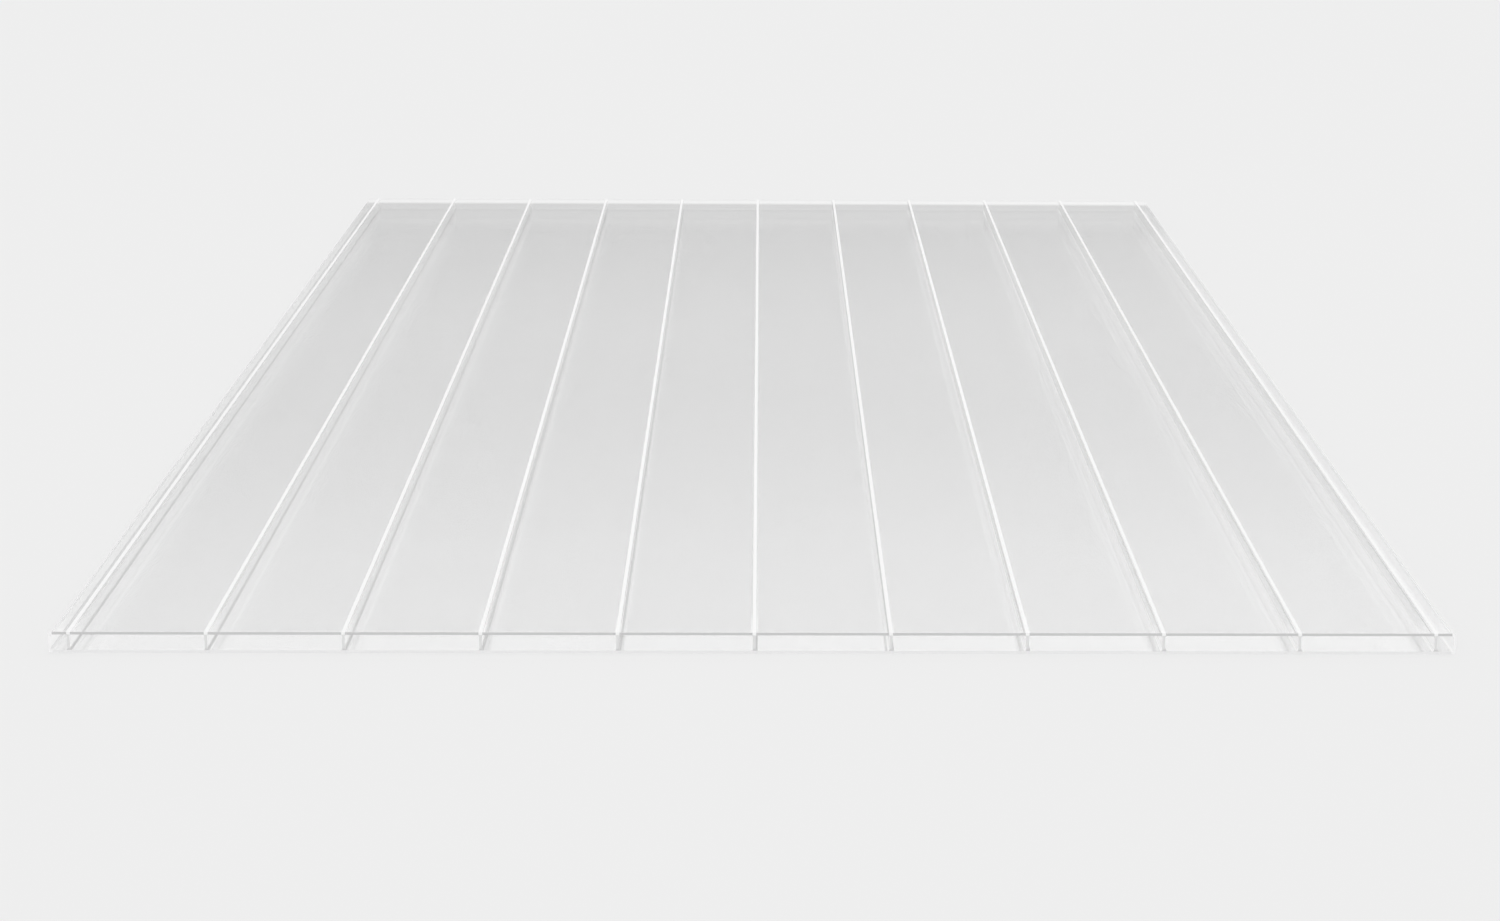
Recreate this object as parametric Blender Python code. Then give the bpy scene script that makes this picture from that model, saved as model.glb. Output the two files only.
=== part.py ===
"""A clear twin-wall polycarbonate sheet with wide chambers, extruded as one piece.

Two flat skins are held apart by upright webs that run the whole length, so the sheet is a row
of open-ended chambers. Past the outer webs a thin side wall closes a narrow chamber along either
edge, which a glazing bar clamps. The sheet lies flat: its length runs along Y, its width along X,
and the origin is in the middle of the underside. Every size is in metres.
"""

import math

import bpy

# Driving dimensions.
LENGTH = 2.000  # along the chambers
THICKNESS = 0.016  # over both skins
CHAMBER_COUNT = 10  # wide ones
WEB_SPACING = 0.102  # between the middles of two neighbouring webs
EDGE_REACH = 0.015  # from the middle of an outer web to the outside of the side wall
SKIN_WALL = 0.002
WEB_WALL = 0.002
SIDE_WALL = 0.0015
FILLET_RADIUS = 0.0014  # where a web or a side wall runs into a skin
EDGE_RADIUS = 0.001  # on the four long outside edges
ARC_STEPS = 4  # flats in each rounded quarter turn

# Derived places across the width, from the middle of the sheet.
OUTER_WEB_X = CHAMBER_COUNT * WEB_SPACING / 2
HALF_WIDTH = OUTER_WEB_X + EDGE_REACH
LOW_INSIDE = SKIN_WALL
HIGH_INSIDE = THICKNESS - SKIN_WALL

SHEET_NAME = "twin_wall_sheet"
CLEAR_COLOUR = (0.90, 0.915, 0.92, 1.0)
REFRACTIVE_INDEX = 1.585


def clear_scene():
    for obj in list(bpy.data.objects):
        bpy.data.objects.remove(obj)


def rounded_corner(before, corner, after, radius):
    """The points of the arc that rounds a square corner, from one side's tangent to the other's."""
    arm_in = math.dist(before, corner)
    arm_out = math.dist(corner, after)
    back = [(b - c) / arm_in for b, c in zip(before, corner)]
    ahead = [(a - c) / arm_out for a, c in zip(after, corner)]
    points = []
    for step in range(ARC_STEPS + 1):
        turn = step / ARC_STEPS * math.pi / 2
        along_back = radius * (1 - math.sin(turn))
        along_ahead = radius * (1 - math.cos(turn))
        points.append(
            tuple(c + along_back * b + along_ahead * a for c, b, a in zip(corner, back, ahead))
        )
    return points


def rounded_loop(corners):
    """A closed loop through square corners, each given as (x, height, radius)."""
    loop = []
    for index, (x, height, radius) in enumerate(corners):
        before = corners[index - 1][:2]
        after = corners[(index + 1) % len(corners)][:2]
        loop += rounded_corner(before, (x, height), after, radius)
    return loop


def outside_corners():
    """The sheet's own outline."""
    return [
        (HALF_WIDTH, 0, EDGE_RADIUS),
        (HALF_WIDTH, THICKNESS, EDGE_RADIUS),
        (-HALF_WIDTH, THICKNESS, EDGE_RADIUS),
        (-HALF_WIDTH, 0, EDGE_RADIUS),
    ]


def chamber_spans():
    """Where each chamber starts and ends across the width, with the narrow ones first and last."""
    webs = [index * WEB_SPACING - OUTER_WEB_X for index in range(CHAMBER_COUNT + 1)]
    starts = [SIDE_WALL - HALF_WIDTH] + [x + WEB_WALL / 2 for x in webs]
    ends = [x - WEB_WALL / 2 for x in webs] + [HALF_WIDTH - SIDE_WALL]
    return zip(starts, ends)


def chamber_corners(start, end):
    return [
        (start, LOW_INSIDE, FILLET_RADIUS),
        (end, LOW_INSIDE, FILLET_RADIUS),
        (end, HIGH_INSIDE, FILLET_RADIUS),
        (start, HIGH_INSIDE, FILLET_RADIUS),
    ]


def add_loop(curve, loop):
    spline = curve.splines.new("POLY")
    spline.points.add(len(loop) - 1)
    for point, (x, height) in zip(spline.points, loop):
        point.co = (x, height, 0, 1)
    spline.use_cyclic_u = True


def clear_polycarbonate():
    material = bpy.data.materials.new("clear_polycarbonate")
    material.use_nodes = True
    shader = material.node_tree.nodes["Principled BSDF"]
    shader.inputs["Base Color"].default_value = CLEAR_COLOUR
    shader.inputs["Metallic"].default_value = 0.0
    shader.inputs["Roughness"].default_value = 0.04
    shader.inputs["IOR"].default_value = REFRACTIVE_INDEX
    shader.inputs["Transmission Weight"].default_value = 1.0
    material.diffuse_color = CLEAR_COLOUR
    return material


def make_sheet(collection):
    """The section is drawn upright in the curve's own plane and extruded both ways along Y."""
    section = bpy.data.curves.new(SHEET_NAME, "CURVE")
    section.dimensions = "2D"
    section.fill_mode = "BOTH"
    section.extrude = LENGTH / 2
    add_loop(section, rounded_loop(outside_corners()))
    for start, end in chamber_spans():
        add_loop(section, rounded_loop(chamber_corners(start, end)))
    section.materials.append(clear_polycarbonate())
    sheet = bpy.data.objects.new(SHEET_NAME, section)
    sheet.rotation_euler = (math.pi / 2, 0, 0)
    collection.objects.link(sheet)
    return sheet


def main():
    clear_scene()
    collection = bpy.data.collections.new("multiwall_polycarbonate_sheet")
    bpy.context.scene.collection.children.link(collection)
    make_sheet(collection)


main()
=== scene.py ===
"""The looks of the clear twin-wall sheet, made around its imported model. Every size is in metres."""

import math
from typing import NamedTuple

import bpy
from mathutils import Matrix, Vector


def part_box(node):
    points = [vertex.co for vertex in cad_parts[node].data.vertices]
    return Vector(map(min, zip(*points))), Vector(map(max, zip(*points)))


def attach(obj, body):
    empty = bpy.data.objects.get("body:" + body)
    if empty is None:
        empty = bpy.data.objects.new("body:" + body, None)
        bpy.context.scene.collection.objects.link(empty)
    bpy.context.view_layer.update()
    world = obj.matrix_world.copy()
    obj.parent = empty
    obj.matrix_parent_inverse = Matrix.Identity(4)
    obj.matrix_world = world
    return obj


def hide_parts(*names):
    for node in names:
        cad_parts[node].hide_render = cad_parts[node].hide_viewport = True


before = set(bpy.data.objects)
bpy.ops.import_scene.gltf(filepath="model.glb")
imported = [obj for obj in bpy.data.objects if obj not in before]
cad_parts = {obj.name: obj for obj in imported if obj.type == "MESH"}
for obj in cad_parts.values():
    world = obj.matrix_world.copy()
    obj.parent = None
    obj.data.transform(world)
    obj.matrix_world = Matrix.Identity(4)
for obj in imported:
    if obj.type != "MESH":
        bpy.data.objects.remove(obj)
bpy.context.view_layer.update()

NODE = "twin_wall_sheet"

# The camera, matched to the photograph: its place over the sheet and how it is turned.
SENSOR_WIDTH_MM = 36.0
FOCAL_PIXELS = 3212.0
PHOTO_WIDTH_PIXELS = 1500.0
SHIFT_PIXELS = -60.0
CAMERA_BEFORE_FRONT = 2.2937
CAMERA_ABOVE_TOP = 0.7001
CAMERA_SIDE = 0.0041
CAMERA_PITCH = math.radians(13.90)
CAMERA_YAW = math.radians(0.914)
CAMERA_ROLL = math.radians(0.343)

# The studio's light: (steepness, level) pairs. Steepness is height over reach. Ahead and behind,
# the reach is along Y alone, so that the light comes in bands along X. Mirrored in the skins, the
# lowest band shows along the rear edge, the darker ones over it make the panels fade from rear to
# front, and the brightest one shows inside the open front ends.
STUDIO_LEVELS = (
    (0.15, 0.96),
    (0.1643, 0.96),
    (0.1649, 0.52),
    (0.1660, 0.58),
    (0.1669, 0.65),
    (0.170, 0.665),
    (0.178, 0.79),
    (0.195, 0.825),
    (0.23, 0.85),
    (0.26, 0.90),
    (0.30, 0.98),
    (0.3049, 0.99),
    (0.3058, 1.16),
    (0.315, 1.16),
    (0.34, 1.00),
    (0.35, 1.00),
)
BAND_SPREAD = 0.974  # cosine of how far to either side the bands run along X
SIDE_SLOPE = 0.24  # how much more light comes from the right
SIDE_END = 0.22  # how far to either side it changes
BACKDROP_LEVEL = 0.855
FLOOR_LEVEL = 0.863
FLOOR_HALF = 40.0
FLOOR_GAP = 0.0005  # keeps the floor just clear of the underside

# The section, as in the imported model.
CHAMBER_COUNT = 10
WEB_SPACING = 0.102
SKIN_WALL = 0.002
WEB_WALL = 0.002
SIDE_WALL = 0.0015
FILLET_RADIUS = 0.0014
EDGE_RADIUS = 0.001
ARC_STEPS = 6
SEAM_WIDTH = 0.0028  # the painted highlight line on a skin along each web
SAME_POINT = 1e-7  # points nearer than this are one

# Places in the section. Heights are above its underside.
BOX_LOW, BOX_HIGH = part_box(NODE)
HALF_WIDTH = BOX_HIGH.x
HALF_LENGTH = BOX_HIGH.y
THICKNESS = BOX_HIGH.z - BOX_LOW.z
LOW_INSIDE = SKIN_WALL
HIGH_INSIDE = THICKNESS - SKIN_WALL
FOOT_TOP = LOW_INSIDE + FILLET_RADIUS
HEAD_BOTTOM = HIGH_INSIDE - FILLET_RADIUS
WEB_REACH = WEB_WALL / 2 + FILLET_RADIUS
SIDE_REACH = SIDE_WALL + FILLET_RADIUS
WEB_PLACES = [(k - CHAMBER_COUNT / 2) * WEB_SPACING for k in range(CHAMBER_COUNT + 1)]

# The plastic.
REFRACTIVE_INDEX = 1.585
STREAKS_ACROSS = 600.0  # streaks in a metre
STREAKS_ALONG = 3.0
STREAK_DETAIL = 3.0
STREAK_MIDDLE = (0.25, 0.75)  # where nearly all of the noise lies
RELIEF_STRENGTH = 0.01
RELIEF_DEPTH = 0.0002
END_LIGHT_REACH = 0.07  # how far in from a cut end the painted light reaches
END_LIGHT_THICK = 0.021  # how far in it is at its strongest


class Finish(NamedTuple):
    """How one kind of face looks. The two pairs are ranges over the die's streaks."""

    shade: tuple
    roughness: tuple
    lets_through: float  # share of shadow rays and matt light that crosses it
    clear: float = 0.0  # share of the face that is see-through
    gloss: float = 0.0
    coat: float = 0.0  # a smooth layer that mirrors as bare polycarbonate does
    painted_end_light: float = 0.0  # painted light: gain in shade toward the cut ends
    open_inside: bool = False  # light from inside the plastic leaves through it


def sawn(dark, pale):
    """A cut end: matt from outside, and clear from inside."""
    return Finish((dark, pale), (0.55, 0.65), 0.90, gloss=0.1, open_inside=True)


FINISHES = {
    "clear_skin": Finish((0.997, 1.0), (0.0, 0.001), 0.995, clear=1.0, gloss=0.5, coat=1.0),
    # Painted highlight: a white strip on the skins along each web.
    "milky_seam": Finish((0.94, 0.97), (0.35, 0.45), 0.94, gloss=0.2),
    # Painted light and shade: each web's two faces are lighter and darker copies of one plastic.
    "milky_web": Finish((0.76, 0.80), (0.30, 0.40), 0.99, coat=1.0, painted_end_light=0.17),
    "bright_web": Finish((0.67, 0.71), (0.30, 0.40), 0.99, coat=1.0, painted_end_light=0.26),
    # Painted shade: a darker copy for the left heads of the webs on the right half.
    "dull_head": Finish((0.53, 0.57), (0.35, 0.45), 0.97),
    # Painted shade and light: each web's right foot is dark, its left foot pale.
    "dull_foot": Finish((0.43, 0.47), (0.40, 0.50), 0.97, painted_end_light=0.17),
    "bright_foot": Finish((0.74, 0.77), (0.35, 0.45), 0.97, painted_end_light=0.18),
    "bright_side": Finish((0.85, 0.87), (0.30, 0.40), 0.99, painted_end_light=0.12),
    # Painted shade: the foot of the left side wall only.
    "dull_side_foot": Finish((0.53, 0.57), (0.40, 0.50), 0.97, painted_end_light=0.24),
    "pale_side": Finish((0.845, 0.865), (0.30, 0.40), 0.99, gloss=0.3),
    "outer_side": Finish((0.86, 0.90), (0.15, 0.25), 0.99, clear=0.3, gloss=0.5),
    # Painted shade: the same sawn plastic is darker at the ends of the top skin, the feet and the webs
    # than at the low skin and the side walls.
    "sawn_top_skin": sawn(0.60, 0.64),
    "sawn_low_skin": sawn(0.87, 0.89),
    "sawn_web": sawn(0.76, 0.80),
    "sawn_side": sawn(0.95, 0.97),
    "sawn_foot": sawn(0.66, 0.70),
}


def make_camera():
    data = bpy.data.cameras.new("camera")
    data.sensor_width = SENSOR_WIDTH_MM
    data.lens = FOCAL_PIXELS / PHOTO_WIDTH_PIXELS * SENSOR_WIDTH_MM
    data.shift_x = SHIFT_PIXELS / PHOTO_WIDTH_PIXELS
    camera = bpy.data.objects.new("camera", data)
    bpy.context.scene.collection.objects.link(camera)
    turn = Matrix.Rotation(-CAMERA_YAW, 4, "Z") @ Matrix.Rotation(math.pi / 2 - CAMERA_PITCH, 4, "X")
    turn = turn @ Matrix.Rotation(CAMERA_ROLL, 4, "Z")
    place = (CAMERA_SIDE, BOX_LOW.y - CAMERA_BEFORE_FRONT, BOX_HIGH.z + CAMERA_ABOVE_TOP)
    camera.matrix_world = Matrix.Translation(place) @ turn
    bpy.context.scene.camera = camera


def grey(level):
    return (level, level, level, 1.0)


def compute(tree, operation, *values):
    """A math node's result. Each value is another node's output or a number."""
    node = tree.nodes.new("ShaderNodeMath")
    node.operation = operation
    for socket, value in zip(node.inputs, values):
        if isinstance(value, bpy.types.NodeSocket):
            tree.links.new(value, socket)
        else:
            socket.default_value = value
    return node.outputs[0]


def remap(tree, value, source, target, interpolation="LINEAR"):
    """The value with the source's span spread over the target's."""
    node = tree.nodes.new("ShaderNodeMapRange")
    node.interpolation_type = interpolation
    node.inputs["From Min"].default_value, node.inputs["From Max"].default_value = source
    node.inputs["To Min"].default_value, node.inputs["To Max"].default_value = target
    tree.links.new(value, node.inputs["Value"])
    return node.outputs["Result"]


def coordinates(tree, kind):
    return tree.nodes.new("ShaderNodeTexCoord").outputs[kind]


def parts(tree, vector):
    """The vector's parts along X, Y and Z."""
    split = tree.nodes.new("ShaderNodeSeparateXYZ")
    tree.links.new(vector, split.inputs[0])
    return split.outputs["X"], split.outputs["Y"], split.outputs["Z"]


def level_reach(tree, direction):
    """How far a direction reaches along the floor, whichever way it points."""
    flat = tree.nodes.new("ShaderNodeVectorMath")
    flat.operation = "MULTIPLY"
    flat.inputs[1].default_value = (1.0, 1.0, 0.0)
    length = tree.nodes.new("ShaderNodeVectorMath")
    length.operation = "LENGTH"
    tree.links.new(direction, flat.inputs[0])
    tree.links.new(flat.outputs["Vector"], length.inputs[0])
    return length.outputs["Value"]


def studio_ramp(tree, steepness):
    """The studio's levels as a colour ramp over their own span of steepness."""
    first, last = STUDIO_LEVELS[0][0], STUDIO_LEVELS[-1][0]
    ramp = tree.nodes.new("ShaderNodeValToRGB")
    tree.links.new(remap(tree, steepness, (first, last), (0.0, 1.0)), ramp.inputs["Fac"])
    elements = ramp.color_ramp.elements
    elements.remove(elements[1])
    elements[0].position = 0.0
    elements[0].color = grey(STUDIO_LEVELS[0][1])
    for place, level in STUDIO_LEVELS[1:]:
        elements.new((place - first) / (last - first)).color = grey(level)
    return ramp.outputs["Color"]


def studio_light(tree):
    direction = coordinates(tree, "Generated")
    x, y, z = parts(tree, direction)
    least = compute(tree, "MULTIPLY", level_reach(tree, direction), BAND_SPREAD)
    reach = compute(tree, "MAXIMUM", compute(tree, "ABSOLUTE", y), least)
    steepness = compute(tree, "DIVIDE", z, reach)
    gain = SIDE_SLOPE * SIDE_END
    strength = remap(tree, x, (-SIDE_END, SIDE_END), (1 - gain, 1 + gain))
    studio = tree.nodes.new("ShaderNodeBackground")
    tree.links.new(studio_ramp(tree, steepness), studio.inputs["Color"])
    tree.links.new(strength, studio.inputs["Strength"])
    return studio.outputs[0]


def make_world():
    """The camera sees a plain pale backdrop. Everything else sees a soft studio, darker low down."""
    world = bpy.data.worlds.new("studio")
    bpy.context.scene.world = world
    world.use_nodes = True
    tree = world.node_tree
    tree.nodes.clear()
    backdrop = tree.nodes.new("ShaderNodeBackground")
    backdrop.inputs["Color"].default_value = grey(BACKDROP_LEVEL)
    path = tree.nodes.new("ShaderNodeLightPath")
    mix = tree.nodes.new("ShaderNodeMixShader")
    out = tree.nodes.new("ShaderNodeOutputWorld")
    tree.links.new(path.outputs["Is Camera Ray"], mix.inputs[0])
    tree.links.new(studio_light(tree), mix.inputs[1])
    tree.links.new(backdrop.outputs[0], mix.inputs[2])
    tree.links.new(mix.outputs[0], out.inputs["Surface"])


def make_floor():
    mesh = bpy.data.meshes.new("floor")
    s = FLOOR_HALF
    mesh.from_pydata([(-s, -s, 0), (s, -s, 0), (s, s, 0), (-s, s, 0)], [], [(0, 1, 2, 3)])
    floor = bpy.data.objects.new("floor", mesh)
    floor.location.z = -FLOOR_GAP
    bpy.context.scene.collection.objects.link(floor)
    material = bpy.data.materials.new("pale_floor")
    material.use_nodes = True
    shader = material.node_tree.nodes["Principled BSDF"]
    shader.inputs["Base Color"].default_value = grey(FLOOR_LEVEL)
    shader.inputs["Roughness"].default_value = 1.0
    shader.inputs["Specular IOR Level"].default_value = 0.0
    mesh.materials.append(material)


def streaks(tree):
    """Noise drawn out along the sheet, as a die leaves it."""
    stretch = tree.nodes.new("ShaderNodeMapping")
    stretch.inputs["Scale"].default_value = (STREAKS_ACROSS, STREAKS_ALONG, STREAKS_ACROSS)
    noise = tree.nodes.new("ShaderNodeTexNoise")
    noise.inputs["Scale"].default_value = 1.0
    noise.inputs["Detail"].default_value = STREAK_DETAIL
    tree.links.new(coordinates(tree, "Object"), stretch.inputs["Vector"])
    tree.links.new(stretch.outputs["Vector"], noise.inputs["Vector"])
    return noise.outputs["Fac"]


def add_painted_end_light(tree, shade, gain):
    """The shade with a gain toward both cut ends: painted light on the walls, where light falls in
    through the open ends.
    """
    along = parts(tree, coordinates(tree, "Object"))[1]
    span = (HALF_LENGTH - END_LIGHT_REACH, HALF_LENGTH - END_LIGHT_THICK)
    painted_end_light = remap(tree, compute(tree, "ABSOLUTE", along), span, (0.0, gain), "SMOOTHSTEP")
    return compute(tree, "ADD", shade, painted_end_light)


def relief(tree, height):
    bump = tree.nodes.new("ShaderNodeBump")
    bump.inputs["Strength"].default_value = RELIEF_STRENGTH
    bump.inputs["Distance"].default_value = RELIEF_DEPTH
    tree.links.new(height, bump.inputs["Height"])
    return bump.outputs["Normal"]


def passing_light(tree, shader, finish):
    """The shader's surface, which shadow rays and light off a matt surface cross straight.

    So the floor and the webs get the light that thin clear plastic would let through.
    """
    path = tree.nodes.new("ShaderNodeLightPath")
    crosses = compute(tree, "MAXIMUM", path.outputs["Is Shadow Ray"], path.outputs["Is Diffuse Ray"])
    if finish.open_inside:
        side = tree.nodes.new("ShaderNodeNewGeometry")
        crosses = compute(tree, "MAXIMUM", crosses, side.outputs["Backfacing"])
    through = tree.nodes.new("ShaderNodeBsdfTransparent")
    through.inputs["Color"].default_value = grey(finish.lets_through)
    mix = tree.nodes.new("ShaderNodeMixShader")
    tree.links.new(crosses, mix.inputs[0])
    tree.links.new(shader.outputs[0], mix.inputs[1])
    tree.links.new(through.outputs[0], mix.inputs[2])
    return mix.outputs[0]


def plastic(name, finish):
    """Polycarbonate, from clear to milky; several milky faces carry painted light and shade. All-clear
    faces pass light unbent and mirror by the coat.
    """
    material = bpy.data.materials.new(name)
    material.use_nodes = True
    tree = material.node_tree
    shader = tree.nodes["Principled BSDF"]
    shader.inputs["IOR"].default_value = 1.0 if finish.clear == 1.0 else REFRACTIVE_INDEX
    shader.inputs["Coat Weight"].default_value = finish.coat
    shader.inputs["Coat Roughness"].default_value = 0.0
    shader.inputs["Coat IOR"].default_value = REFRACTIVE_INDEX
    shader.inputs["Transmission Weight"].default_value = finish.clear
    shader.inputs["Specular IOR Level"].default_value = finish.gloss
    lines = streaks(tree)
    shade = remap(tree, lines, STREAK_MIDDLE, finish.shade)
    if finish.painted_end_light:
        shade = add_painted_end_light(tree, shade, finish.painted_end_light)
    tint = tree.nodes.new("ShaderNodeCombineColor")
    for channel in ("Red", "Green", "Blue"):
        tree.links.new(shade, tint.inputs[channel])
    tree.links.new(tint.outputs["Color"], shader.inputs["Base Color"])
    tree.links.new(remap(tree, lines, STREAK_MIDDLE, finish.roughness), shader.inputs["Roughness"])
    tree.links.new(relief(tree, lines), shader.inputs["Normal"])
    surface = passing_light(tree, shader, finish)
    tree.links.new(surface, tree.nodes["Material Output"].inputs["Surface"])
    return material


def arc(corner, start, end):
    """Points from start to end on the quarter turn that rounds a corner, both ends left in."""
    points = []
    for step in range(ARC_STEPS + 1):
        turn = step / ARC_STEPS * math.pi / 2
        back = 1 - math.sin(turn)
        ahead = 1 - math.cos(turn)
        points.append(
            tuple(c + back * (s - c) + ahead * (e - c) for c, s, e in zip(corner, start, end))
        )
    return points


def block(finish, left, right, bottom, top):
    return finish, [(left, bottom), (left, top), (right, top), (right, bottom)]


def skin_cells(left, right, top_finish="sawn_top_skin"):
    """Both skins between two places across the width."""
    return [
        block("sawn_low_skin", left, right, 0, LOW_INSIDE),
        block(top_finish, left, right, HIGH_INSIDE, THICKNESS),
    ]


def web_cells(x):
    """The web at x with its filleted foot and head, and the skins under and over it."""
    left, right = x - WEB_WALL / 2, x + WEB_WALL / 2
    far_left, far_right = x - WEB_REACH, x + WEB_REACH
    seam_left, seam_right = x - SEAM_WIDTH / 2, x + SEAM_WIDTH / 2
    left_foot = arc((left, LOW_INSIDE), (far_left, LOW_INSIDE), (left, FOOT_TOP))
    right_foot = arc((right, LOW_INSIDE), (right, FOOT_TOP), (far_right, LOW_INSIDE))
    left_head = arc((left, HIGH_INSIDE), (left, HEAD_BOTTOM), (far_left, HIGH_INSIDE))
    right_head = arc((right, HIGH_INSIDE), (far_right, HIGH_INSIDE), (right, HEAD_BOTTOM))
    under = [(seam_right, LOW_INSIDE), (seam_left, LOW_INSIDE)]
    over = [(seam_left, HIGH_INSIDE), (seam_right, HIGH_INSIDE)]
    cells = [
        ("sawn_foot", left_foot + right_foot + under),
        ("sawn_web", left_head + over + right_head),
        ("sawn_web", [left_head[0], right_head[-1], right_foot[0], left_foot[-1]]),
    ]
    cells += skin_cells(far_left, seam_left)
    # painted highlight strip on the cut end over the web
    cells += skin_cells(seam_left, seam_right, "milky_seam")
    cells += skin_cells(seam_right, far_right)
    return cells


def edge_cells():
    """The skins past the right outer web and the side wall, and the same mirrored on the left."""
    wall_x = HALF_WIDTH - SIDE_WALL
    start, end = WEB_PLACES[-1] + WEB_REACH, HALF_WIDTH - SIDE_REACH
    round_x = HALF_WIDTH - EDGE_RADIUS
    round_top = THICKNESS - EDGE_RADIUS
    foot = arc((wall_x, LOW_INSIDE), (end, LOW_INSIDE), (wall_x, FOOT_TOP))
    head = arc((wall_x, HIGH_INSIDE), (wall_x, HEAD_BOTTOM), (end, HIGH_INSIDE))
    upper = arc((HALF_WIDTH, THICKNESS), (round_x, THICKNESS), (HALF_WIDTH, round_top))
    lower = arc((HALF_WIDTH, 0), (HALF_WIDTH, EDGE_RADIUS), (round_x, 0))
    side = foot + head + [(end, THICKNESS)] + upper + lower + [(end, 0)]
    cells = skin_cells(start, end) + [("sawn_side", side)]
    mirrored = [(finish, [(-x, z) for x, z in reversed(points)]) for finish, points in cells]
    return cells + mirrored


def section_cells():
    """A cut end as flat cells that share their points, each (finish, points clockwise)."""
    cells = edge_cells()
    for x in WEB_PLACES:
        cells += web_cells(x)
    for left, right in zip(WEB_PLACES, WEB_PLACES[1:]):
        cells += skin_cells(left + WEB_REACH, right - WEB_REACH)
    return cells


def side_finish(a, b):
    """The finish of the long face that runs back from the edge a to b of the section."""
    x, z = (a[0] + b[0]) / 2, (a[1] + b[1]) / 2
    off = x - min(WEB_PLACES, key=lambda place: abs(x - place))
    flat = abs(a[1] - b[1]) < SAME_POINT
    at_side = abs(x) > HALF_WIDTH - SIDE_REACH
    if at_side and (flat or z < EDGE_RADIUS or z > THICKNESS - EDGE_RADIUS):
        return "pale_side"
    if flat:
        outside = z < LOW_INSIDE / 2 or z > THICKNESS - SKIN_WALL / 2
        # painted highlight strip on the outer faces along each web
        return "milky_seam" if outside and abs(off) < SEAM_WIDTH / 2 else "clear_skin"
    if abs(x) > HALF_WIDTH - EDGE_RADIUS:
        return "outer_side"
    if at_side and z > HEAD_BOTTOM:
        return "pale_side"
    if at_side:
        # painted shade on the left side wall's foot
        return "dull_side_foot" if x < 0 and z < FOOT_TOP else "bright_side"
    # painted shade on the left heads of the webs on the right half
    if z > HEAD_BOTTOM and off < 0 and x > WEB_SPACING / 2:
        return "dull_head"
    if z > FOOT_TOP:
        # painted light and shade: the web's right face lighter, its left face darker
        return "milky_web" if off > 0 else "bright_web"
    # painted shade on the right foot, painted light on the left foot
    return "dull_foot" if off > 0 else "bright_foot"


def numbered(cells):
    """The section's points, each once, and the cells as rings of their numbers."""
    numbers, points, rings = {}, [], []
    for finish, corners in cells:
        ring = []
        for corner in corners:
            key = tuple(round(value / SAME_POINT) for value in corner)
            if key not in numbers:
                numbers[key] = len(points)
                points.append(corner)
            if numbers[key] not in ring:
                ring.append(numbers[key])
        rings.append((finish, ring))
    return points, rings


def outline(rings):
    """The edges that only one cell has: the section's outside and the walls of its chambers."""
    used = {pair for _, ring in rings for pair in zip(ring, ring[1:] + ring[:1])}
    return [(a, b) for a, b in sorted(used) if (b, a) not in used]


def sheet_mesh():
    """One closed mesh: the cells close both ends, and the outline runs between them."""
    section, rings = numbered(section_cells())
    count = len(section)
    points = [(x, y, BOX_LOW.z + z) for y in (BOX_LOW.y, BOX_HIGH.y) for x, z in section]
    faces, finishes = [], []
    for finish, ring in rings:
        faces += [ring[::-1], [n + count for n in ring]]
        finishes += [finish, finish]
    for a, b in outline(rings):
        faces.append([a, b, b + count, a + count])
        finishes.append(side_finish(section[a], section[b]))
    mesh = bpy.data.meshes.new("sheet_in_detail")
    mesh.from_pydata(points, [], faces)
    names = sorted(FINISHES)
    for name in names:
        mesh.materials.append(plastic(name, FINISHES[name]))
    for face, finish in zip(mesh.polygons, finishes):
        face.material_index = names.index(finish)
    mesh.validate()
    return mesh


def make_sheet():
    sheet = bpy.data.objects.new("sheet_in_detail", sheet_mesh())
    bpy.context.scene.collection.objects.link(sheet)
    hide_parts(NODE)
    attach(sheet, "root")


def set_bounces():
    """Low limits, which most of the panels' grey hangs on.

    They cut off light that is mirrored to and fro between the skins. With Blender's usual limits
    the panels render about 11 grey levels of 255 paler, and with 32 bounces of each kind about 15.
    """
    cycles = bpy.context.scene.cycles
    cycles.max_bounces = 7
    cycles.transmission_bounces = 4
    cycles.transparent_max_bounces = 32


make_camera()
make_world()
make_floor()
make_sheet()
set_bounces()
bpy.context.scene.view_settings.view_transform = "Standard"
